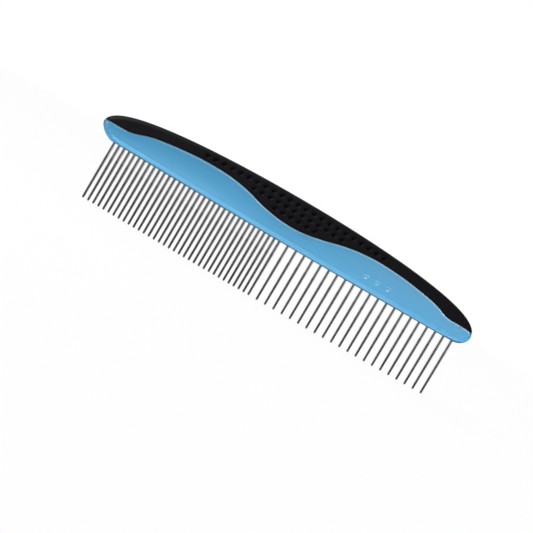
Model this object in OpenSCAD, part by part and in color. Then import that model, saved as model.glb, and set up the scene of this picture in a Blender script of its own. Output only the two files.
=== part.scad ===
// Two-pitch steel grooming comb: fixed steel wire teeth in a moulded handle.
// +X runs along the comb to the wide-spaced end, -Y is the front, +Z points from the teeth to the spine.
// The origin is the bottom centre: the middle teeth touch z = 0 and the handle is centred on x = 0, y = 0.
// Lengths are in millimetres.

/* [Teeth] */
// Number of closely spaced teeth
fine_tooth_count = 34; // [24:1:34]
// Number of widely spaced teeth
coarse_tooth_count = 21; // [14:1:22]
// Distance between two closely spaced teeth
fine_pitch = 3.1; // [2.8:0.1:4]
// Distance between two widely spaced teeth
coarse_pitch = 5.2; // [4.2:0.1:6]
// Length of a tooth outside the handle
tooth_reach = 33.6; // [25:0.2:40]
// Diameter of the tooth wire
wire_diameter = 1.9; // [1.5:0.05:2]
// Diameter at the rounded tip
tip_diameter = 1.3; // [1:0.05:1.5]
// Length of the tapered end
taper_length = 26; // [8:1:30]
// Length of the root held in the handle
root_length = 6.6; // [5:0.1:7]

/* [Handle] */
// Handle length in front of the first closely spaced tooth
front_margin = 10.7; // [9:0.1:16]
// Handle length behind the last widely spaced tooth
rear_margin = 8.2; // [8:0.1:16]
// Rise of the spine above the handle ends
spine_rise = 20.6; // [18:0.1:24]
// How far the tooth edge rises from its middle to the outer teeth
edge_bow = 0.8; // [0.5:0.1:2]
// Thickness of the hard core at the teeth
core_thickness = 9; // [8:0.2:12]
// Radius of the core's long edges beside the teeth
edge_radius = 3; // [1:0.2:3.4]

/* [Grip] */
// Thickness of the rubber grip
grip_thickness = 8.2; // [7.4:0.2:12]
// Radius of the grip along the spine
spine_radius = 3.4; // [2:0.2:3.6]
// Rubber over the top of the core's web
spine_cover = 2.8; // [2:0.1:3.4]
// Thickness of the core's web inside the grip
web_thickness = 3.6; // [2.4:0.2:4.4]
// Diameter of a dimple in the grip
dimple_diameter = 3; // [1.6:0.1:3]
// Depth of a dimple
dimple_depth = 1.4; // [0.5:0.1:1.4]

/* [Hidden] */
fine_row = (fine_tooth_count - 1) * fine_pitch;
tooth_row = fine_row + coarse_tooth_count * coarse_pitch;
handle_length = front_margin + tooth_row + rear_margin;
half_length = handle_length / 2;
first_tooth_x = front_margin - half_length;

// Spine: its highest point lies a little behind the middle, and its foot lies below the rounded noses.
crest_x = 4.7;
spine_foot = 5.1;

// Noses: [height of the outermost point, length of the rounding under it, exponent of its curve]
front_nose = [8.5, 9.2, 1.6];
rear_nose = [7.5, 8.2, 2];
nose_taper = 7;         // length over which the grip's thickness rounds off at each end
nose_thickness = 0.35;  // share of the grip's thickness left at the very end
nose_flat = 3;          // flat left across the core's very ends

// Wavy line between core and grip: [place as a share of the half length, height, slope]
wave_knots = [
    [-1, 9.8, 0],
    [-0.885, 9.85, 0.04],
    [-0.812, 12, 0.38],
    [-0.729, 14.4, 0.16],
    [-0.46, 17.3, 0],
    [-0.226, 13.85, -0.3],
    [-0.009, 10, 0],
    [0.2, 14.05, 0.27],
    [0.434, 17.8, 0],
    [0.729, 14.6, -0.18],
    [0.812, 12, -0.46],
    [0.877, 10.5, 0.03],
    [1, 10.2, 0]
];

station_count = 72;     // places along the handle where its curves are worked out
corner_steps = 4;       // flats in a rounded edge
corner_share = 0.98;    // largest share of a section that its rounded corners may take
bar_height = 28;        // height of the bar that the core is cut from
bar_drop = 0.3;         // how far that bar reaches below the middle of the tooth edge
least_grip = 0.4;       // height of the grip where its cross-sections begin and end
web_root = 3.5;         // how far the web reaches down into the core
web_sink = 3;           // how far its top dips into the core where the grip is too thin to hold it
web_steps = 60;         // straight lengths in the web's outline
window_height = 3;      // openings in the web that lock the grip to it
window_length = 8;
window_pitch = 16;
window_count = 7;
window_margin = 1.1;    // web left above and below a window
groove_depth = 0.2;     // grooves in a tooth root, filled by the core
groove_width = 0.8;
groove_heights = [1.6, 4];
tip_steps = 6;          // flats in the rounded tip
dimple_pitch = 5;
dimple_row_pitch = 3.85;
dimple_row_counts = [23, 12, 6];
dimple_row_drop = 3.6;  // from the spine to the first row
dimple_centre_x = [-3.6, -1.1, -1.1];
mark_height = 0.25;     // raised paw prints on the front
mark_x = [47.5, 54.5, 61.5];
mark_z = 6.9;
toe_angles = [-54, -18, 18, 54];
toe_distance = 1.45;
toe_diameter = 0.75;
pad_diameter = 1.5;
cut_extra = 1;          // how far a cut runs past the surface
wire_facets = 48;
curve_facets = 32;
mark_facets = 20;

core_colour = [0.30, 0.60, 0.80];
grip_colour = [0.08, 0.08, 0.09];
steel_colour = [0.75, 0.76, 0.78];

function two_digits(n) = str(n < 10 ? "0" : "", n);
function fine_name(n) = str("fine_tooth_", two_digits(n));
function coarse_name(n) = str("coarse_tooth_", two_digits(n));

// ---- Curves of the handle, as heights above the middle of the tooth edge ----

function clamp(v, low, high) = min(high, max(low, v));

function nose_at(x) = x < 0 ? front_nose : rear_nose;

// The tooth edge is an arc that rises by edge_bow from the middle to the outer teeth
bow_radius = pow(tooth_row / 2, 2) / (2 * edge_bow) + edge_bow / 2;
function bow(x) = bow_radius - sqrt(bow_radius * bow_radius - x * x);

// Height of the tooth edge, with the rounding under each nose
function edge(x) =
    let (nose = nose_at(x))
    let (u = clamp((abs(x) - half_length + nose[1]) / nose[1], 0, 1))
    let (drop = 1 - pow(1 - pow(u, nose[2]), 1 / nose[2]))
    bow(x) * (1 - drop) + nose[0] * drop;

// Height of the spine
function spine(x) =
    let (reach = x < crest_x ? half_length + crest_x : half_length - crest_x)
    let (u = (x - crest_x) / reach)
    max(nose_at(x)[0], spine_foot + spine_rise * pow(max(0, 1 - u * u), 1 / 3));

// Smooth curve through knots of [place, height, slope]
function knot_index(u, i = 0) =
    i >= len(wave_knots) - 2 || u < wave_knots[i + 1][0] ? i : knot_index(u, i + 1);

function blend(a, b, t, width) =
    let (t2 = t * t, t3 = t * t * t)
    a[1] * (2 * t3 - 3 * t2 + 1) + a[2] * width * (t3 - 2 * t2 + t)
    + b[1] * (3 * t2 - 2 * t3) + b[2] * width * (t3 - t2);

// Height of the line between core and grip
function wave(x) =
    let (u = x / half_length, i = knot_index(u))
    let (a = wave_knots[i], b = wave_knots[i + 1])
    let (t = (u - a[0]) / (b[0] - a[0]))
    blend(a, b, t, (b[0] - a[0]) * half_length);

// Share of the full thickness at x: 1 along the handle, less in the rounded noses
function fullness(x) =
    let (u = clamp((abs(x) - half_length + nose_taper) / nose_taper, 0, 1))
    nose_thickness + (1 - nose_thickness) * sqrt(1 - u * u);

// Cross-section places, closer together towards both ends
end_gap = 0.1;
stations = [
    for (i = [0 : station_count])
        -(half_length - end_gap) * cos(180 * i / station_count)
];

// ---- Cross-sections ----

// One rounded corner: centre, radius, first angle
function corner(y, z, r, start) = [
    for (i = [0 : corner_steps])
        let (a = start + 90 * i / corner_steps)
        [y + r * cos(a), z + r * sin(a)]
];

// Section from z = low to high with a rounded top
function section(half_width, low, high, r) =
    let (a = min(r, half_width * corner_share, (high - low) * corner_share))
    concat(
        [[half_width, low]],
        corner(half_width - a, high - a, a, 0),
        corner(a - half_width, high - a, a, 90),
        [[-half_width, low]]
    );

// Solid through a list of cross-sections that stand at the stations
module loft(places, sections) {
    n = len(sections[0]);
    count = len(places);
    points = [
        for (i = [0 : count - 1])
            for (p = sections[i])
                [places[i], p[0], p[1]]
    ];
    sides = [
        for (i = [0 : count - 2])
            for (j = [0 : n - 1])
                let (k = (j + 1) % n)
                for (face = [
                    [i * n + j, (i + 1) * n + j, (i + 1) * n + k],
                    [i * n + j, (i + 1) * n + k, i * n + k]
                ])
                    face
    ];
    first_cap = [for (j = [0 : n - 1]) j];
    last_cap = [for (j = [n - 1 : -1 : 0]) (count - 1) * n + j];
    polyhedron(points, concat([first_cap], sides, [last_cap]));
}

// Extrudes an x-z outline through the thickness, centred on y = 0
module plate(thickness) {
    rotate([90, 0, 0])
        linear_extrude(height = thickness, center = true)
            children();
}

// ---- Teeth ----

// Half outline of a tooth from its tip up, with grooves in its root
function tooth_outline() =
    let (tip = tip_diameter / 2, wire = wire_diameter / 2)
    concat(
        [for (i = [0 : tip_steps]) let (a = 90 * i / tip_steps) [tip * sin(a), tip * (1 - cos(a))]],
        [[wire, taper_length]],
        [
            for (h = groove_heights)
                for (p = [
                    [wire, 0],
                    [wire - groove_depth, groove_depth],
                    [wire - groove_depth, groove_width - groove_depth],
                    [wire, groove_width]
                ])
                    [p[0], tooth_reach + h + p[1]]
        ],
        [[wire, tooth_reach + root_length], [0, tooth_reach + root_length]]
    );

module tooth(x) {
    translate([x, 0, bow(x)])
        rotate_extrude($fn = wire_facets)
            polygon(tooth_outline());
}

function fine_x(n) = first_tooth_x + (n - 1) * fine_pitch;
function coarse_x(n) = first_tooth_x + fine_row + n * coarse_pitch;

// Places of all the teeth along the handle
tooth_places = concat(
    [for (n = [1 : fine_tooth_count]) fine_x(n)],
    [for (n = [1 : coarse_tooth_count]) coarse_x(n)]
);

// ---- Handle core ----

// Places where the underside bends: in the noses and midway between teeth, so that a root hole
// never crosses a bend
last_tooth = len(tooth_places) - 1;
underside = concat(
    [for (x = stations) if (x < tooth_places[0] - wire_diameter) x],
    [for (i = [1 : last_tooth]) (tooth_places[i - 1] + tooth_places[i]) / 2],
    [for (x = stations) if (x > tooth_places[last_tooth] + wire_diameter) x]
);

// Core seen from the front
module core_outline() {
    n = len(underside) - 1;
    polygon(concat(
        [for (x = stations) [x, min(wave(x), spine(x))]],
        [for (i = [n : -1 : 0]) [underside[i], edge(underside[i])]]
    ));
}

// Bar along x with rounded long edges beside the teeth
module rounded_bar() {
    rotate([90, 0, 90])
        linear_extrude(height = handle_length + 2 * cut_extra, center = true)
            polygon([
                for (p = section(core_thickness / 2, 0, bar_height, edge_radius))
                    [p[0], bar_height - bar_drop - p[1]]
            ]);
}

// Handle seen from above, with rounded ends
module plan() {
    inset = core_thickness / 2 - nose_flat / 2;
    end = [
        for (i = [0 : corner_steps])
            let (a = 90 * i / corner_steps)
            [half_length - inset * (1 - cos(a)), nose_flat / 2 + inset * sin(a)]
    ];
    n = len(end) - 1;
    linear_extrude(height = 2 * bar_height, center = true)
        polygon(concat(
            end,
            [for (i = [n : -1 : 0]) [-end[i][0], end[i][1]]],
            [for (p = end) [-p[0], -p[1]]],
            [for (i = [n : -1 : 0]) [end[i][0], -end[i][1]]]
        ));
}

module core_band() {
    translate([0, 0, tooth_reach])
        intersection() {
            plate(2 * core_thickness)
                core_outline();
            rounded_bar();
            plan();
        }
}

// Holes for the tooth roots, each as deep as its root
module root_hole(x) {
    translate([x, 0, bow(x) + tooth_reach - cut_extra])
        cylinder(d = wire_diameter, h = root_length + cut_extra, $fn = wire_facets);
}

// Height of the web's top, which stays under the rubber
function web_top(x) = max(wave(x) - web_sink, spine(x) - spine_cover);

module web_windows() {
    for (i = [0 : window_count - 1]) {
        x = (i - (window_count - 1) / 2) * window_pitch;
        middle = (wave(x) + web_top(x)) / 2;
        room = web_top(x) - wave(x) - 2 * window_margin;
        translate([x, 0, tooth_reach + middle])
            plate(web_thickness + 2 * cut_extra)
                slot(window_length, min(window_height, room));
    }
}

// Slot with round ends, centred on the origin
module slot(length, height) {
    square([length - height, height], center = true);
    for (side = [-1, 1])
        translate([side * (length - height) / 2, 0])
            circle(d = height, $fn = curve_facets);
}

module web() {
    reach = half_length - nose_taper;
    xs = [for (i = [0 : web_steps]) -reach + 2 * reach * i / web_steps];
    difference() {
        translate([0, 0, tooth_reach])
            plate(web_thickness)
                polygon(concat(
                    [for (x = xs) [x, web_top(x)]],
                    [for (i = [web_steps : -1 : 0]) [xs[i], wave(xs[i]) - web_root]]
                ));
        web_windows();
    }
}

// Raised paw print that stands on the front face, centred on the origin
module paw_print() {
    rotate([90, 0, 0]) {
        cylinder(d = pad_diameter, h = mark_height, $fn = mark_facets);
        for (a = toe_angles)
            translate([toe_distance * sin(a), toe_distance * cos(a), 0])
                cylinder(d = toe_diameter, h = mark_height, $fn = mark_facets);
    }
}

module handle_core() {
    color(core_colour) {
        difference() {
            union() {
                core_band();
                web();
            }
            for (x = tooth_places)
                root_hole(x);
        }
        for (x = mark_x)
            translate([x, -core_thickness / 2, tooth_reach + mark_z])
                paw_print();
    }
}

// ---- Rubber grip ----

module grip_body() {
    inner = [for (x = stations) if (spine(x) - wave(x) > least_grip) x];
    translate([0, 0, tooth_reach])
        loft(inner, [
            for (x = inner)
                section(grip_thickness / 2 * fullness(x), wave(x), spine(x), spine_radius)
        ]);
}

// Ball radius that gives the dimple its width and depth
dimple_ball = (pow(dimple_diameter / 2, 2) + dimple_depth * dimple_depth) / (2 * dimple_depth);

module dimples() {
    for (row = [0 : len(dimple_row_counts) - 1])
        for (i = [0 : dimple_row_counts[row] - 1]) {
            x = dimple_centre_x[row] + (i - (dimple_row_counts[row] - 1) / 2) * dimple_pitch;
            z = tooth_reach + spine(x) - dimple_row_drop - row * dimple_row_pitch;
            for (side = [-1, 1])
                translate([x, side * (grip_thickness / 2 - dimple_depth + dimple_ball), z])
                    sphere(r = dimple_ball, $fn = curve_facets);
        }
}

module rubber_grip() {
    color(grip_colour)
        difference() {
            grip_body();
            web();
            dimples();
        }
}

// ---- Assembly ----

handle_core();
rubber_grip();
for (n = [1 : fine_tooth_count])
    color(steel_colour) tooth(fine_x(n));
for (n = [1 : coarse_tooth_count])
    color(steel_colour) tooth(coarse_x(n));
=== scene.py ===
import math

import bpy
import bmesh
import numpy as np
from mathutils import Matrix, Vector


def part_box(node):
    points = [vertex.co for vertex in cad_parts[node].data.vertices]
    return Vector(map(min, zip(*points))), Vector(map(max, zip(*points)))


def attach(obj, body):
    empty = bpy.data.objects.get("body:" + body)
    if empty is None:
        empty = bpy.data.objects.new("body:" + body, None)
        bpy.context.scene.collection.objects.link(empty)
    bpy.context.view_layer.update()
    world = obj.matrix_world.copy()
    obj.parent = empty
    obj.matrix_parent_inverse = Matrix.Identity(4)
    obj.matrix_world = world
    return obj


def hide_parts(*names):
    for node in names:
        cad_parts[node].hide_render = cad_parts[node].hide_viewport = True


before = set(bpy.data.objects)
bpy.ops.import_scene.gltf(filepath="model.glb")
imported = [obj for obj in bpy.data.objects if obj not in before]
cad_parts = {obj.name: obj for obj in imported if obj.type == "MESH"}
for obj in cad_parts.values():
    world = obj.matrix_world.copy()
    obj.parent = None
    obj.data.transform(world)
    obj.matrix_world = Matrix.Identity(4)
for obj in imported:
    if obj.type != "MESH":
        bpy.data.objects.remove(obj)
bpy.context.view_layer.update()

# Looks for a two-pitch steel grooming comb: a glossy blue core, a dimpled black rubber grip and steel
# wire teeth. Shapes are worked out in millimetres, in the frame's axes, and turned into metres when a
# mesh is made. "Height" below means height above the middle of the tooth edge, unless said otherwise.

MM = 0.001

FINE_TEETH = sorted(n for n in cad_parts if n.startswith("fine_tooth_"))
COARSE_TEETH = sorted(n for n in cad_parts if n.startswith("coarse_tooth_"))


def node_box(name):
    """Lowest and highest corner of a CAD node, in millimetres."""
    low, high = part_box(name)
    return np.array(low) / MM, np.array(high) / MM


def middle_x(name):
    low, high = node_box(name)
    return (low[0] + high[0]) / 2


# ---- Sizes ----

core_low, core_high = node_box("handle_core")
HALF_LENGTH = (core_high[0] - core_low[0]) / 2
CORE_HALF = core_high[1]          # half thickness of the core
TOOTH_ROW = middle_x(COARSE_TEETH[-1]) - middle_x(FINE_TEETH[0])
TOOTH_EDGE = 33.6                 # height of the middle of the tooth edge above the floor

EDGE_BOW = 0.8                    # rise of the tooth edge from its middle to the outer teeth
BOW_RADIUS = (TOOTH_ROW / 2) ** 2 / (2 * EDGE_BOW) + EDGE_BOW / 2

# Noses: height of the outermost point, length of the rounding under it, exponent of its curve
FRONT_NOSE = (8.5, 9.2, 1.6)
REAR_NOSE = (7.5, 8.2, 2.0)

SPINE_CREST_X = 4.7
SPINE_FOOT = 5.1                  # height at which the spine's curve would end, below the noses
SPINE_RISE = 20.6                 # height of the dome above that

# Wavy line between core and grip: place as a share of the half length, height, slope
WAVE_KNOTS = np.array([
    (-1, 9.8, 0),
    (-0.885, 9.85, 0.04),
    (-0.812, 12, 0.38),
    (-0.729, 14.4, 0.16),
    (-0.46, 17.3, 0),
    (-0.226, 13.85, -0.3),
    (-0.009, 10, 0),
    (0.2, 14.05, 0.27),
    (0.434, 17.8, 0),
    (0.729, 14.6, -0.18),
    (0.812, 12, -0.46),
    (0.877, 10.5, 0.03),
    (1, 10.2, 0),
])

CORE_ROUND = (1.3, 3.8)           # radius of the core's outer edges: along the teeth, round the noses
NOSE_REACH = 16.0                 # length over which the edges get their larger radius
RIM_ROUND = 1.1                   # radius of the core's edge along the grip
RIM_START = 1.5                   # height of the grip over which that rounding begins at its ends
CORE_CROWN = 0.010                # bulge of the core's face: fall per square millimetre from its middle
SHOULDER = (4.0, 0.014)           # more bulge along the wavy line: width, fall per square millimetre
GRIP_CROWN = 0.004                # bulge of the grip's face, from the wavy line up
GRIP_STEP = 0.35                  # how far the grip lies below the core's rim
BEVEL_LENGTH = 3.3                # width of the bevel along the outline
BEVEL_SLOPE = 0.05                # how steeply the bevel falls
RIDGE = (2.9, 0.07, 0.32)         # fine line on the bevel: distance from the outline, height, half width
GRIP_ROUND = (2.4, 3.0)           # radius of the grip's edge: along the spine, round the noses
LIP_ROUND = 0.45                  # radius of the grip's edge along the core
LAP = 0.15                        # how far the grip reaches into the core's rim
GRIP_TIP_HALF = 0.1               # least half thickness of the grip

DIMPLE_RADIUS = 1.55
DIMPLE_DEPTH = 1.4
DIMPLE_RIM = 0.16                 # width of the rounded rim
DIMPLE_PITCH = 5.0
DIMPLE_ROW_PITCH = 3.85
DIMPLE_ROW_DROP = 3.6             # from the spine to the first row
DIMPLE_ROWS = ((23, -3.6), (12, -1.1), (6, -1.1))     # number of dimples, middle of the row
DIMPLED = (-60.6, 53.4)           # stretch of the grip with dimples, which gets a finer mesh

NEAR = 6.0                        # distances from the outline matter up to here

# Raised paw marks: places, height, relief, size of the pad, size and places of the toes
MARK_X = (47.5, 54.5, 61.5)
MARK_HEIGHT = 6.9
MARK_RELIEF = 0.25
MARK_SINK = 0.05                  # how far the marks start inside the core's face
PAD_SIZE = (1.9, 1.5)
PAD_DROP = 0.35
TOE_SIZE = (0.72, 0.95)
TOE_DISTANCE = 1.5
TOE_ANGLES = (-54, -18, 18, 54)


# ---- Curves ----

def bow(x):
    return BOW_RADIUS - np.sqrt(BOW_RADIUS ** 2 - x ** 2)


def nose_value(x, index):
    return np.where(x < 0, FRONT_NOSE[index], REAR_NOSE[index])


def edge(x):
    """Height of the tooth edge, with the rounding under each nose."""
    height, length, power = (nose_value(x, i) for i in range(3))
    u = np.clip((np.abs(x) - HALF_LENGTH + length) / length, 0, 1)
    drop = 1 - (1 - u ** power) ** (1 / power)
    return bow(x) * (1 - drop) + height * drop


def spine(x):
    """Height of the spine: a dome with steep ends, which are as high as the noses' outermost points."""
    reach = np.where(x < SPINE_CREST_X, HALF_LENGTH + SPINE_CREST_X, HALF_LENGTH - SPINE_CREST_X)
    u = (x - SPINE_CREST_X) / reach
    at_tip = (nose_value(x, 0) - SPINE_FOOT) / SPINE_RISE
    return SPINE_FOOT + SPINE_RISE * np.cbrt(1 - u ** 2 * (1 - at_tip ** 3))


def wave(x):
    """Height of the line between core and grip."""
    u = x / HALF_LENGTH
    place, height, slope = WAVE_KNOTS.T
    i = np.clip(np.searchsorted(place, u, side="right") - 1, 0, len(place) - 2)
    width = place[i + 1] - place[i]
    t = (u - place[i]) / width
    rise = width * HALF_LENGTH
    return (
        height[i] * (2 * t ** 3 - 3 * t ** 2 + 1)
        + slope[i] * rise * (t ** 3 - 2 * t ** 2 + t)
        + height[i + 1] * (3 * t ** 2 - 2 * t ** 3)
        + slope[i + 1] * rise * (t ** 3 - t ** 2)
    )


def core_top(x):
    return np.minimum(wave(x), spine(x))


def cosine_places(low, high, count):
    """Places from low to high, closer together towards both ends."""
    turn = np.linspace(0, math.pi, count)
    return (low + high) / 2 - (high - low) / 2 * np.cos(turn)


def distance_to(line, x, heights):
    """Distance of each grid point to a polyline, for columns at x. Beyond NEAR it stays at NEAR."""
    nearest = np.full(heights.shape, NEAR)
    for column, place in enumerate(x):
        close = np.abs(line[:, 0] - place) < NEAR
        use = close[:-1] & close[1:]
        a, b = line[:-1][use], line[1:][use]
        along = b - a
        length2 = np.maximum((along ** 2).sum(1), 1e-12)
        p = np.column_stack([np.full(len(heights), place), heights[:, column]])[:, None, :]
        t = np.clip(((p - a) * along).sum(2) / length2, 0, 1)
        gap = p - (a + t[:, :, None] * along)
        nearest[:, column] = np.minimum(NEAR, np.sqrt((gap ** 2).sum(2).min(1)))
    return nearest


curve_x = cosine_places(-HALF_LENGTH, HALF_LENGTH, 1200)
EDGE_LINE = np.column_stack([curve_x, edge(curve_x)])
SPINE_LINE = np.column_stack([curve_x, spine(curve_x)])
OUTLINE = np.vstack([EDGE_LINE, SPINE_LINE[::-1]])
WAVE_LINE = np.column_stack([curve_x, wave(curve_x)])


def rounding(distance, radius):
    """Fall of a rounded edge below its face, at a distance from the outline."""
    inside = np.clip(radius - distance, 0, radius)
    return radius - np.sqrt(radius ** 2 - inside ** 2)


def smooth_step(t):
    t = np.clip(t, 0, 1)
    return t * t * (3 - 2 * t)


# ---- Mesh helpers ----

def make_piece(name, vertices, faces, material):
    """A smooth mesh piece on the root body, from vertices in millimetres."""
    mesh = bpy.data.meshes.new(name)
    mesh.from_pydata((np.asarray(vertices) * MM).tolist(), [], faces)
    work = bmesh.new()
    work.from_mesh(mesh)
    bmesh.ops.remove_doubles(work, verts=work.verts, dist=2e-6)
    bmesh.ops.recalc_face_normals(work, faces=work.faces)
    work.to_mesh(mesh)
    work.free()
    mesh.materials.append(material)
    mesh.polygons.foreach_set("use_smooth", [True] * len(mesh.polygons))
    mesh.update()
    piece = bpy.data.objects.new(name, mesh)
    bpy.context.scene.collection.objects.link(piece)
    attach(piece, "root")
    return piece


def sheet_faces(rows, columns, offset=0, flip=False):
    """Quads of a grid of vertices stored row by row."""
    faces = []
    for r in range(rows - 1):
        for c in range(columns - 1):
            a = offset + r * columns + c
            quad = (a, a + 1, a + columns + 1, a + columns)
            faces.append(quad[::-1] if flip else quad)
    return faces


def two_sided(x, heights, half_thickness):
    """Closed shell from a grid of heights and half thicknesses: front, back and the strips between them.
    x has one value per column; the grids have one row per height."""
    rows, columns = heights.shape
    place_x = np.broadcast_to(x, heights.shape)
    z = heights + TOOTH_EDGE
    front = np.stack([place_x, -half_thickness, z], axis=2).reshape(-1, 3)
    back = np.stack([place_x, half_thickness, z], axis=2).reshape(-1, 3)
    count = rows * columns
    faces = sheet_faces(rows, columns) + sheet_faces(rows, columns, count, flip=True)
    last = (rows - 1) * columns
    for c in range(columns - 1):
        faces.append((c, count + c, count + c + 1, c + 1))
        faces.append((last + c, last + c + 1, count + last + c + 1, count + last + c))
    for r in range(rows - 1):
        for c in (0, columns - 1):
            a = r * columns + c
            faces.append((a, a + columns, count + a + columns, count + a))
    return np.vstack([front, back]), faces


def stretched_rows(low_steps, high_steps, inner_count, total):
    """Heights above the bottom of each column: fixed steps at both borders and even steps between them.
    Columns too short for the fixed steps get them all scaled down."""
    low_steps, high_steps = np.array(low_steps), np.array(high_steps)
    fixed = low_steps[-1] + high_steps[-1]
    most = 0.9                    # share of a column that the fixed steps may take
    scale = np.minimum(1, total * most / fixed)
    low = low_steps[:, None] * scale
    high = total - high_steps[::-1][:, None] * scale
    share = np.linspace(0, 1, inner_count + 2)[1:-1, None]
    inner = low[-1] + (high[0] - low[-1]) * share
    return np.vstack([low, inner, high])


def round_steps(radius, count):
    """Distances from an edge that follow its rounding evenly, from 0 to radius."""
    turn = np.linspace(0, math.pi / 2, count)
    return radius * (1 - np.cos(turn))


# ---- Materials ----

# Linear colours, most of them as a range from dark to light
CORE_BLUE = ((0.060, 0.300, 0.525, 1), (0.067, 0.318, 0.555, 1))
# the paw marks' paler blue is a painted highlight on the raised marks
MARK_PAINTED_HIGHLIGHT_BLUE = ((0.24, 0.46, 0.66, 1), (0.27, 0.50, 0.70, 1))
RUBBER_BLACK = ((0.004, 0.0036, 0.0044, 1), (0.008, 0.0072, 0.0088, 1))
WIRE_GREY = ((0.80, 0.81, 0.83, 1), (0.92, 0.93, 0.95, 1))
# painted shade: the colour that the underside among the teeth is darkened towards
UNDERSIDE_PAINTED_SHADE = (0.03, 0.075, 0.11, 1)


def new_material(name):
    material = bpy.data.materials.new(name)
    material.use_nodes = True
    tree = material.node_tree
    tree.nodes.clear()
    output = tree.nodes.new("ShaderNodeOutputMaterial")
    shader = tree.nodes.new("ShaderNodeBsdfPrincipled")
    tree.links.new(shader.outputs["BSDF"], output.inputs["Surface"])
    return material, tree, shader


def noise(tree, scale, detail=4.0, stretch=(1, 1, 1)):
    """Noise over the object's own coordinates, in metres."""
    place = tree.nodes.new("ShaderNodeTexCoord")
    mapping = tree.nodes.new("ShaderNodeMapping")
    mapping.inputs["Scale"].default_value = stretch
    texture = tree.nodes.new("ShaderNodeTexNoise")
    texture.inputs["Scale"].default_value = scale
    texture.inputs["Detail"].default_value = detail
    tree.links.new(place.outputs["Object"], mapping.inputs["Vector"])
    tree.links.new(mapping.outputs["Vector"], texture.inputs["Vector"])
    return texture.outputs["Fac"]


def spread(tree, value, low, high, from_low=0.3, from_high=0.7, smooth=False):
    """Value mapped from its usual span to low..high."""
    node = tree.nodes.new("ShaderNodeMapRange")
    node.interpolation_type = "SMOOTHSTEP" if smooth else "LINEAR"
    node.inputs["From Min"].default_value = from_low
    node.inputs["From Max"].default_value = from_high
    node.inputs["To Min"].default_value = low
    node.inputs["To Max"].default_value = high
    tree.links.new(value, node.inputs["Value"])
    return node.outputs["Result"]


def feed(tree, socket, value):
    """Give a socket a node's output, a number or a colour."""
    if isinstance(value, bpy.types.NodeSocket):
        tree.links.new(value, socket)
    else:
        socket.default_value = value


def mix_colours(tree, share, first, second):
    node = tree.nodes.new("ShaderNodeMix")
    node.data_type = "RGBA"
    feed(tree, node.inputs[0], share)
    feed(tree, node.inputs[6], first)
    feed(tree, node.inputs[7], second)
    return node.outputs[2]


def bump(tree, height, depth, before=None):
    """Bump of a depth in metres; several bumps chain through before."""
    node = tree.nodes.new("ShaderNodeBump")
    node.inputs["Distance"].default_value = depth
    tree.links.new(height, node.inputs["Height"])
    if before is not None:
        tree.links.new(before, node.inputs["Normal"])
    return node.outputs["Normal"]


def maths(tree, operation, *values):
    node = tree.nodes.new("ShaderNodeMath")
    node.operation = operation
    for socket, value in zip(node.inputs, values):
        feed(tree, socket, value)
    return node.outputs["Value"]


def axes_of(tree, vector):
    """The X, Y and Z outputs of a vector."""
    node = tree.nodes.new("ShaderNodeSeparateXYZ")
    tree.links.new(vector, node.inputs[0])
    return node.outputs


def painted_shade_share(tree):
    """Share of painted shade: 1 on the underside among the teeth, 0 elsewhere. It fades out before the
    front nose.
    """
    shape = tree.nodes.new("ShaderNodeNewGeometry")
    underside = spread(tree, axes_of(tree, shape.outputs["Normal"])["Z"], 1, 0, -0.85, -0.45, smooth=True)
    place = tree.nodes.new("ShaderNodeTexCoord")
    toothed = spread(tree, axes_of(tree, place.outputs["Object"])["X"], 0, 1, -0.107, -0.099)
    return maths(tree, "MULTIPLY", underside, toothed)


def make_plastic(name, low, high):
    """Glossy moulded plastic: faint colour drift, painted shade on the underside among the teeth, uneven
    gloss, slight orange peel.
    """
    material, tree, shader = new_material(name)
    clean = mix_colours(tree, noise(tree, 18), low, high)
    # the underside among the teeth is painted darker: painted shade
    tree.links.new(mix_colours(tree, painted_shade_share(tree), clean, UNDERSIDE_PAINTED_SHADE), shader.inputs["Base Color"])
    gloss = spread(tree, noise(tree, 160, 5), 0.29, 0.36)
    tree.links.new(gloss, shader.inputs["Roughness"])
    peel = bump(tree, noise(tree, 700, 2), 0.000004)
    tree.links.new(bump(tree, noise(tree, 60, 1), 0.00002, peel), shader.inputs["Normal"])
    shader.inputs["IOR"].default_value = 1.5
    return material


def make_rubber():
    """Matt black moulded rubber with a fine sparked grain."""
    material, tree, shader = new_material("grip_rubber")
    tree.links.new(mix_colours(tree, noise(tree, 300, 5), *RUBBER_BLACK), shader.inputs["Base Color"])
    tree.links.new(spread(tree, noise(tree, 90, 5), 0.5, 0.68), shader.inputs["Roughness"])
    grain = bump(tree, noise(tree, 2600, 3), 0.00006)
    tree.links.new(grain, shader.inputs["Normal"])
    shader.inputs["Specular IOR Level"].default_value = 0.10
    return material


def make_steel():
    """Bright drawn wire: fine streaks along the wire."""
    material, tree, shader = new_material("tooth_steel")
    streaks = noise(tree, 2400, 3, stretch=(1, 1, 0.02))
    tree.links.new(mix_colours(tree, streaks, *WIRE_GREY), shader.inputs["Base Color"])
    tree.links.new(spread(tree, streaks, 0.08, 0.18), shader.inputs["Roughness"])
    tree.links.new(bump(tree, streaks, 0.000004), shader.inputs["Normal"])
    shader.inputs["Metallic"].default_value = 1.0
    return material


PLASTIC = make_plastic("core_plastic", *CORE_BLUE)
# paler blue for the paw marks: painted highlight
MARK_PLASTIC = make_plastic("mark_plastic_painted_highlight", *MARK_PAINTED_HIGHLIGHT_BLUE)
RUBBER = make_rubber()
STEEL = make_steel()


# ---- Handle core ----

def edge_radius(x, radii):
    """Radius of an outer edge, which grows towards the noses."""
    share = smooth_step((np.abs(x) - HALF_LENGTH + NOSE_REACH) / NOSE_REACH)
    return radii[0] + (radii[1] - radii[0]) * share


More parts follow.
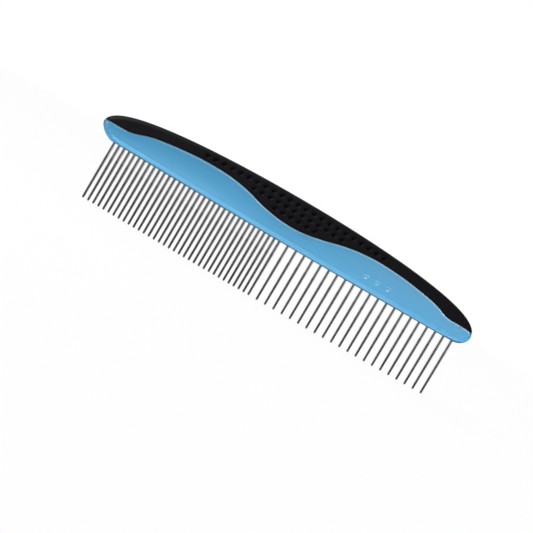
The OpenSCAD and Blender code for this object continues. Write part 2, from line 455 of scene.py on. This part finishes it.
def core_fall(x, heights):
    """Fall of the core's face below its middle: an even bulge, and more of it under the wavy line."""
    middle = (edge(x) + wave(x)) / 2
    width, curvature = SHOULDER
    shoulder = np.clip(width - (wave(x) - heights), 0, width)
    return CORE_CROWN * (heights - middle) ** 2 + curvature * shoulder ** 2


def core_half_thickness(x, heights):
    outer = distance_to(OUTLINE, x, heights)
    rim = distance_to(WAVE_LINE, x, heights)
    rim_share = smooth_step((spine(x) - wave(x)) / RIM_START)
    bevel = BEVEL_SLOPE * np.maximum(BEVEL_LENGTH - outer, 0)
    place, height, half_width = RIDGE
    ridge = height * np.exp(-((outer - place) / half_width) ** 2)
    edges = rounding(outer, edge_radius(x, CORE_ROUND)) + rounding(rim, RIM_ROUND) * rim_share
    return CORE_HALF - core_fall(x, heights) - bevel - edges + ridge


def build_core():
    x = cosine_places(-HALF_LENGTH, HALF_LENGTH, 320)
    low, high = edge(x), core_top(x)
    bevel_steps = [1.8, 2.2, 2.45, 2.6, 2.75, 2.9, 3.05, 3.2, 3.35, 3.6]      # closest at the ridge
    low_steps = np.append(round_steps(CORE_ROUND[0], 9), bevel_steps)
    high_steps = np.append(round_steps(RIM_ROUND, 8), 1.5)
    heights = low + stretched_rows(low_steps, high_steps, 10, high - low)
    vertices, faces = two_sided(x, heights, core_half_thickness(x, heights))
    piece = make_piece("Handle_Core", vertices, faces, PLASTIC)
    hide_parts("handle_core")
    return piece


# ---- Rubber grip ----

def dimple_centres():
    centres = []
    for row, (count, middle) in enumerate(DIMPLE_ROWS):
        drop = DIMPLE_ROW_DROP + row * DIMPLE_ROW_PITCH
        for i in range(count):
            x = middle + (i - (count - 1) / 2) * DIMPLE_PITCH
            centres.append((x, float(spine(np.array(x))) - drop))
    return np.array(centres)


def dimple_fall(x, heights):
    """Depth of the dimples at each grid point: cups of a ball, with a rim eased into the face."""
    ball = (DIMPLE_RADIUS ** 2 + DIMPLE_DEPTH ** 2) / (2 * DIMPLE_DEPTH)
    nearest = np.full(heights.shape, np.inf)
    for cx, ch in dimple_centres():
        nearest = np.minimum(nearest, np.hypot(x - cx, heights - ch))
    cup = DIMPLE_DEPTH - ball + np.sqrt(np.maximum(ball ** 2 - nearest ** 2, 0))
    eased = np.log1p(np.exp(cup / DIMPLE_RIM)) * DIMPLE_RIM
    return np.where(nearest < 2 * DIMPLE_RADIUS, eased, 0)


def grip_half_thickness(x, heights):
    outer = distance_to(OUTLINE, x, heights)
    lip = distance_to(WAVE_LINE, x, heights)
    face = CORE_HALF - core_fall(x, wave(x)) - GRIP_STEP - GRIP_CROWN * (heights - wave(x)) ** 2
    edges = rounding(outer, edge_radius(x, GRIP_ROUND)) + rounding(lip, LIP_ROUND)
    return np.maximum(face - edges, GRIP_TIP_HALF) - dimple_fall(x, heights)


def grip_ends():
    """Places where the spine meets the wavy line."""
    x = np.linspace(-HALF_LENGTH, HALF_LENGTH, 40001)
    covered = x[spine(x) > wave(x)]
    return covered[0], covered[-1]


def build_grip():
    start, end = grip_ends()
    dimpled_start, dimpled_end = DIMPLED
    fine_step = 0.24
    # the columns get closer together towards the very ends
    spacing = round_steps(1, 90)
    x = np.concatenate([
        start + (dimpled_start - start) * spacing,
        np.arange(dimpled_start + fine_step, dimpled_end, fine_step),
        end - (end - dimpled_end) * spacing[::-1],
    ])
    low, high = wave(x) - LAP, spine(x)
    high_steps = round_steps(GRIP_ROUND[0], 12)
    low_steps = np.append(round_steps(LIP_ROUND, 4), 0.8)
    heights = low + stretched_rows(low_steps, high_steps, 56, high - low)
    vertices, faces = two_sided(x, heights, grip_half_thickness(x, heights))
    piece = make_piece("Rubber_Grip", vertices, faces, RUBBER)
    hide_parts("rubber_grip")
    return piece


# ---- Raised paw marks ----

def dome(centre_x, centre_height, width, height, rings=5, sides=20):
    """Low oval dome that stands on the front face."""
    face = -CORE_HALF + MARK_SINK
    fullness = 2.4                # 2 would be half an ellipse; more gives a flatter top
    vertices = [(centre_x, face - MARK_RELIEF, centre_height + TOOTH_EDGE)]
    for ring in range(1, rings + 1):
        share = ring / rings
        rise = MARK_RELIEF * math.sqrt(1 - share ** fullness)
        for side in range(sides):
            turn = 2 * math.pi * side / sides
            vertices.append((
                centre_x + width / 2 * share * math.cos(turn),
                face - rise,
                centre_height + TOOTH_EDGE + height / 2 * share * math.sin(turn),
            ))
    faces = [(0, 1 + s, 1 + (s + 1) % sides) for s in range(sides)]
    for ring in range(rings - 1):
        a = 1 + ring * sides
        for s in range(sides):
            k = (s + 1) % sides
            faces.append((a + s, a + sides + s, a + sides + k, a + k))
    faces.append(tuple(1 + (rings - 1) * sides + s for s in range(sides)))
    return vertices, faces


def build_marks():
    """Three paw prints: a pad with four toes each."""
    vertices, faces = [], []
    for x in MARK_X:
        shapes = [(x, MARK_HEIGHT - PAD_DROP, *PAD_SIZE)]
        for turn in TOE_ANGLES:
            a = math.radians(turn)
            toe_x = x + TOE_DISTANCE * math.sin(a)
            shapes.append((toe_x, MARK_HEIGHT + TOE_DISTANCE * math.cos(a), *TOE_SIZE))
        for shape in shapes:
            more, sides = dome(*shape)
            faces.extend(tuple(i + len(vertices) for i in side) for side in sides)
            vertices.extend(more)
    return make_piece("Paw_Marks", vertices, faces, MARK_PLASTIC)


# ---- Teeth ----

def finish_teeth():
    for name in FINE_TEETH + COARSE_TEETH:
        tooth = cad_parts[name]
        tooth.data.materials.clear()
        tooth.data.materials.append(STEEL)
        tooth.data.polygons.foreach_set("use_smooth", [True] * len(tooth.data.polygons))


# ---- Floor, light and camera ----

def build_floor():
    """Plain white floor that only the camera sees. The lights and the studio light the comb."""
    material, tree, shader = new_material("floor_paper")
    shader.inputs["Base Color"].default_value = (0.12, 0.12, 0.12, 1)
    shader.inputs["Roughness"].default_value = 0.9
    shader.inputs["Specular IOR Level"].default_value = 0
    shader.inputs["Emission Color"].default_value = (1, 1, 1, 1)
    shader.inputs["Emission Strength"].default_value = 0.92
    reach = 12.0
    mesh = bpy.data.meshes.new("Floor")
    corners = [(-reach, -reach, 0), (reach, -reach, 0), (reach, reach, 0), (-reach, reach, 0)]
    mesh.from_pydata(corners, [], [(0, 1, 2, 3)])
    mesh.materials.append(material)
    floor = bpy.data.objects.new("Floor", mesh)
    bpy.context.scene.collection.objects.link(floor)
    floor.visible_glossy = False
    floor.visible_diffuse = False
    floor.visible_shadow = False


def softbox(name, direction, distance, size, radiance, diffuse=True, glossy=True, receivers=None):
    """Oval soft light of a width and height that faces the comb from a direction in the row frame."""
    light = bpy.data.lights.new(name, "AREA")
    light.shape = "ELLIPSE"
    light.size, light.size_y = size
    area = math.pi * size[0] * size[1] / 4
    light.energy = radiance * math.pi * area
    holder = bpy.data.objects.new(name, light)
    back = Vector(direction).normalized()
    holder.location = Vector((0, 0, TOOTH_EDGE * MM)) + back * distance
    holder.rotation_euler = back.to_track_quat("Z", "Y").to_euler()
    holder.visible_camera = False
    holder.visible_diffuse = diffuse
    holder.visible_glossy = glossy
    bpy.context.scene.collection.objects.link(holder)
    if receivers is not None:
        holder.light_linking.receiver_collection = receivers


def light_group(name, pieces):
    group = bpy.data.collections.new(name)
    for piece in pieces:
        group.objects.link(piece)
    return group


def build_lights(core_pieces, grip_pieces):
    """A low fill and a key for everything, panels for the core alone and a key for the grip alone."""
    core = light_group("Core_Light", core_pieces)
    grip = light_group("Grip_Light", grip_pieces)
    # direction from the comb, distance and size in metres, radiance
    softbox("Low_Fill", (0.25, -0.60, -0.66), 0.90, (0.60, 0.60), 10.9, glossy=False)
    softbox("Key", (-0.85, -0.40, 0.36), 0.70, (0.22, 0.22), 6.0)
    softbox("Low_Panel", (-0.15, -0.92, -0.38), 0.60, (0.60, 0.26), 4.0, diffuse=False, receivers=core)
    softbox("Left_Low_Panel", (-0.27, -0.92, -0.27), 0.60, (0.16, 0.16), 4.0, diffuse=False, receivers=core)
    softbox("Right_Panel", (0.44, -0.89, 0.19), 0.54, (0.34, 0.34), 1.7, receivers=core)
    softbox("Left_Panel", (-0.90, -0.40, 0.0), 0.60, (0.30, 0.30), 5.0, diffuse=False, receivers=core)
    softbox("Overhead", (0.25, -0.35, 0.90), 0.50, (0.90, 0.30), 8.0, diffuse=False, receivers=core)
    softbox("Right_Overhead", (0.75, -0.35, 0.60), 0.50, (0.40, 0.30), 8.0, diffuse=False, receivers=core)
    softbox("Grip_Key", (-0.62, -0.38, 0.68), 0.60, (0.14, 0.14), 62.0, receivers=grip)


# Studio around the comb. Ring: azimuth in degrees from the front towards the right, and brightness. Its
# dark front gives the wires their dark stripe. Wall: sine of elevation, and share of that brightness. A
# dark gap parts the walls from the pale ground.
RING = (
    (-180, 0.55), (-165, 1.0), (-62, 1.0), (-50, 0.02), (22, 0.02), (36, 0.50), (112, 0.60), (128, 0.25),
    (180, 0.55),
)
WALL = ((-1, 0.7), (-0.22, 0.7), (-0.14, 0.1), (-0.075, 0.1), (-0.035, 1), (1, 1))


def ramp(tree, value, low, high, stops):
    """Value looked up in a list of (place, result) stops."""
    node = tree.nodes.new("ShaderNodeValToRGB")
    elements = node.color_ramp.elements
    while len(elements) < len(stops):
        elements.new(0.5)
    for element, (place, result) in zip(elements, stops):
        element.position = (place - low) / (high - low)
        element.color = (result, result, result, 1)
    tree.links.new(spread(tree, value, 0, 1, low, high), node.inputs["Fac"])
    return node.outputs["Color"]


def build_world():
    """White to the camera; the studio ring to everything else."""
    world = bpy.data.worlds.new("Studio")
    world.use_nodes = True
    bpy.context.scene.world = world
    tree = world.node_tree
    tree.nodes.clear()
    output = tree.nodes.new("ShaderNodeOutputWorld")
    background = tree.nodes.new("ShaderNodeBackground")
    background.inputs["Color"].default_value = (1, 1, 1, 1)
    place = tree.nodes.new("ShaderNodeTexCoord")
    axes = axes_of(tree, place.outputs["Generated"])
    front = maths(tree, "MULTIPLY", axes["Y"], -1)
    azimuth = maths(tree, "ARCTAN2", axes["X"], front)
    ring = ramp(tree, maths(tree, "DEGREES", azimuth), -180, 180, RING)
    studio = maths(tree, "MULTIPLY", ring, ramp(tree, axes["Z"], -1, 1, WALL))
    path = tree.nodes.new("ShaderNodeLightPath")
    strength = maths(tree, "MAXIMUM", studio, path.outputs["Is Camera Ray"])
    tree.links.new(strength, background.inputs["Strength"])
    tree.links.new(background.outputs["Background"], output.inputs["Surface"])


def axis_turn(axis, degrees):
    return np.array(Matrix.Rotation(math.radians(degrees), 3, axis))


def build_camera():
    """Camera at the photograph's angle: nearly square to the comb's front, and rolled so that the comb
    slopes down to the right."""
    roll, yaw, elevation = 30.3, -5.98, 2.0
    offset = np.array([9.6, -11.9, 677.1]) * MM       # from the camera to the comb: right, down, forward
    comb_middle = np.array([0.95, 0, TOOTH_EDGE]) * MM
    picture_axes = np.array([[1, 0, 0], [0, 0, -1], [0, 1, 0]])
    view = axis_turn("Z", roll) @ axis_turn("Y", yaw) @ axis_turn("X", elevation) @ picture_axes
    right, down, forward = view
    place = comb_middle - view.T @ offset
    camera = bpy.data.cameras.new("Camera")
    camera.lens = 85
    camera.sensor_width = 36
    holder = bpy.data.objects.new("Camera", camera)
    matrix = Matrix.Identity(4)
    for row in range(3):
        matrix[row][0] = right[row]
        matrix[row][1] = -down[row]
        matrix[row][2] = -forward[row]
        matrix[row][3] = place[row]
    holder.matrix_world = matrix
    bpy.context.scene.collection.objects.link(holder)
    bpy.context.scene.camera = holder


core = build_core()
grip = build_grip()
marks = build_marks()
finish_teeth()
build_floor()
build_world()
build_lights([core, marks], [grip])
build_camera()
bpy.context.scene.view_settings.view_transform = "Standard"
